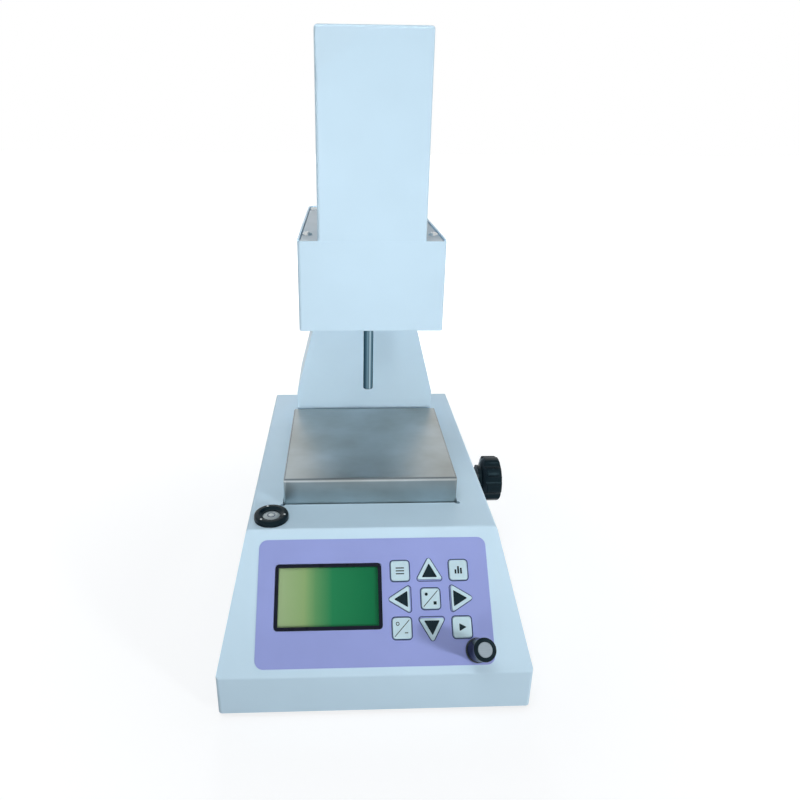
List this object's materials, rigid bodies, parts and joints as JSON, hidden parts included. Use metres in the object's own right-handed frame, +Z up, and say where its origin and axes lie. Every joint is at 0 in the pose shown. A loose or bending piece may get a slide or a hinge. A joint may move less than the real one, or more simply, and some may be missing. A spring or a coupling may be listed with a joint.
{
  "type": "liquid and plastic limit tester",
  "caption": "Bench fall-cone soil tester: sloped keypad base with a lifting platform, tapered column, head with a hanging spindle and a tall cover above.",
  "frame": {"origin": "on the bench, under the middle of the whole outline, knob included", "axes": "+X to the right seen from the keypad, +Y from the keypad to the column, +Z up"},
  "size_m": [0.235, 0.35, 0.4447],
  "materials": {
    "white_paint": "powder coat, pale white",
    "stainless": "satin",
    "zinc_steel": "zinc plated",
    "polished": "polished",
    "black_plastic": "moulded black",
    "overlay_film": "printed lavender film",
    "key_plastic": "pale white with dark outline",
    "display_frame": "dark navy border",
    "display_green": "pale green display glass",
    "circuit_board": "green circuit board",
    "bronze": "plain bronze",
    "cast_aluminium": "machined",
    "foot_rubber": "moulded black rubber",
    "vial_glass": "clear with tinted fluid"
  },
  "bodies": {
    "frame": {"base_cover": "white_paint", "base_plate": "zinc_steel", "case_screws": "stainless", "panel_overlay": "overlay_film", "display_bezel": "display_frame", "display_glass": "display_green", "display_board": "circuit_board", "key_board": "circuit_board", "trim_pot": "zinc_steel", "level_body": "black_plastic", "level_vial": "vial_glass", "platform_well": "white_paint", "lift_guide": "cast_aluminium", "shaft_bracket": "zinc_steel", "shaft_bush": "bronze", "column_post": "zinc_steel", "column_cover": "white_paint", "column_back": "white_paint", "support_arm": "cast_aluminium", "head_housing": "white_paint", "head_lid": "white_paint", "sensor_cover": "white_paint", "spindle_bushes": "bronze", "magnet": "zinc_steel", "sensor_bracket": "cast_aluminium", "scale_reader": "black_plastic", "main_board": "circuit_board", "power_supply": "circuit_board", "power_inlet": "black_plastic"},
    "platform": {"platform_tray": "stainless", "platform_carrier": "cast_aluminium", "lift_stem": "stainless", "lift_rack": "stainless"},
    "lift_drive": {"lift_pinion": "bronze", "lift_shaft": "stainless", "lift_knob": "black_plastic"},
    "spindle": {"spindle_rod": "polished", "spindle_collar": "zinc_steel", "armature": "zinc_steel", "scale_strip": "cast_aluminium"},
    "trim_control": {"trim_shaft": "polished", "trim_knob": "polished", "trim_knob_ring": "black_plastic", "trim_knob_cap": "cast_aluminium"},
    "rocker": {"switch_rocker": "black_plastic"},
    "fuse": {"fuse_drawer": "black_plastic"},
    "button_menu": {"key_menu": "key_plastic"},
    "button_up": {"key_up": "key_plastic"},
    "button_data": {"key_data": "key_plastic"},
    "button_left": {"key_left": "key_plastic"},
    "button_enter": {"key_enter": "key_plastic"},
    "button_right": {"key_right": "key_plastic"},
    "button_return": {"key_return": "key_plastic"},
    "button_down": {"key_down": "key_plastic"},
    "button_start": {"key_start": "key_plastic"},
    "leveller_front_left": {"foot_front_left": "foot_rubber"},
    "leveller_front_right": {"foot_front_right": "foot_rubber"},
    "leveller_rear_left": {"foot_rear_left": "foot_rubber"},
    "leveller_rear_right": {"foot_rear_right": "foot_rubber"}
  },
  "joints": [
    {"name": "platform_lift", "type": "slide", "parent": "frame", "child": "platform", "axis": [0, 0, 1], "range_m": [0, 0.035]},
    {"name": "lift_knob_turn", "type": "hinge", "parent": "frame", "child": "lift_drive", "pos_m": [-0.0061, 0.03342, 0.0756], "axis": [-1, 0, 0], "range_deg": [0, 223]},
    {"name": "spindle_fall", "type": "slide", "parent": "frame", "child": "spindle", "axis": [0, 0, 1], "range_m": [0, 0.03]},
    {"name": "trim_turn", "type": "hinge", "parent": "frame", "child": "trim_control", "pos_m": [0.0643, -0.15568, 0.05199], "axis": [0, -0.7121, 0.7021], "range_deg": [-150, 150]},
    {"name": "power_rock", "type": "hinge", "parent": "frame", "child": "rocker", "pos_m": [-0.0491, 0.16462, 0.044], "axis": [-1, 0, 0], "range_deg": [0, 18]},
    {"name": "fuse_pull", "type": "slide", "parent": "frame", "child": "fuse", "axis": [0, 1, 0], "range_m": [0, 0.018]},
    {"name": "press_menu", "type": "slide", "parent": "frame", "child": "button_menu", "axis": [0, 0.7121, -0.7021], "range_m": [0, 0.0005], "stiffness_N_per_m": 200},
    {"name": "press_up", "type": "slide", "parent": "frame", "child": "button_up", "axis": [0, 0.7121, -0.7021], "range_m": [0, 0.0005], "stiffness_N_per_m": 200},
    {"name": "press_data", "type": "slide", "parent": "frame", "child": "button_data", "axis": [0, 0.7121, -0.7021], "range_m": [0, 0.0005], "stiffness_N_per_m": 200},
    {"name": "press_left", "type": "slide", "parent": "frame", "child": "button_left", "axis": [0, 0.7121, -0.7021], "range_m": [0, 0.0005], "stiffness_N_per_m": 200},
    {"name": "press_enter", "type": "slide", "parent": "frame", "child": "button_enter", "axis": [0, 0.7121, -0.7021], "range_m": [0, 0.0005], "stiffness_N_per_m": 200},
    {"name": "press_right", "type": "slide", "parent": "frame", "child": "button_right", "axis": [0, 0.7121, -0.7021], "range_m": [0, 0.0005], "stiffness_N_per_m": 200},
    {"name": "press_return", "type": "slide", "parent": "frame", "child": "button_return", "axis": [0, 0.7121, -0.7021], "range_m": [0, 0.0005], "stiffness_N_per_m": 200},
    {"name": "press_down", "type": "slide", "parent": "frame", "child": "button_down", "axis": [0, 0.7121, -0.7021], "range_m": [0, 0.0005], "stiffness_N_per_m": 200},
    {"name": "press_start", "type": "slide", "parent": "frame", "child": "button_start", "axis": [0, 0.7121, -0.7021], "range_m": [0, 0.0005], "stiffness_N_per_m": 200},
    {"name": "level_front_left", "type": "slide", "parent": "frame", "child": "leveller_front_left", "axis": [0, 0, 1], "range_m": [-0.006, 0]},
    {"name": "level_front_right", "type": "slide", "parent": "frame", "child": "leveller_front_right", "axis": [0, 0, 1], "range_m": [-0.006, 0]},
    {"name": "level_rear_left", "type": "slide", "parent": "frame", "child": "leveller_rear_left", "axis": [0, 0, 1], "range_m": [-0.006, 0]},
    {"name": "level_rear_right", "type": "slide", "parent": "frame", "child": "leveller_rear_right", "axis": [0, 0, 1], "range_m": [-0.006, 0]}
  ],
  "couplings": [
    {"joint": "lift_knob_turn", "follows": "platform_lift", "rad_per_m": 111.11}
  ]
}
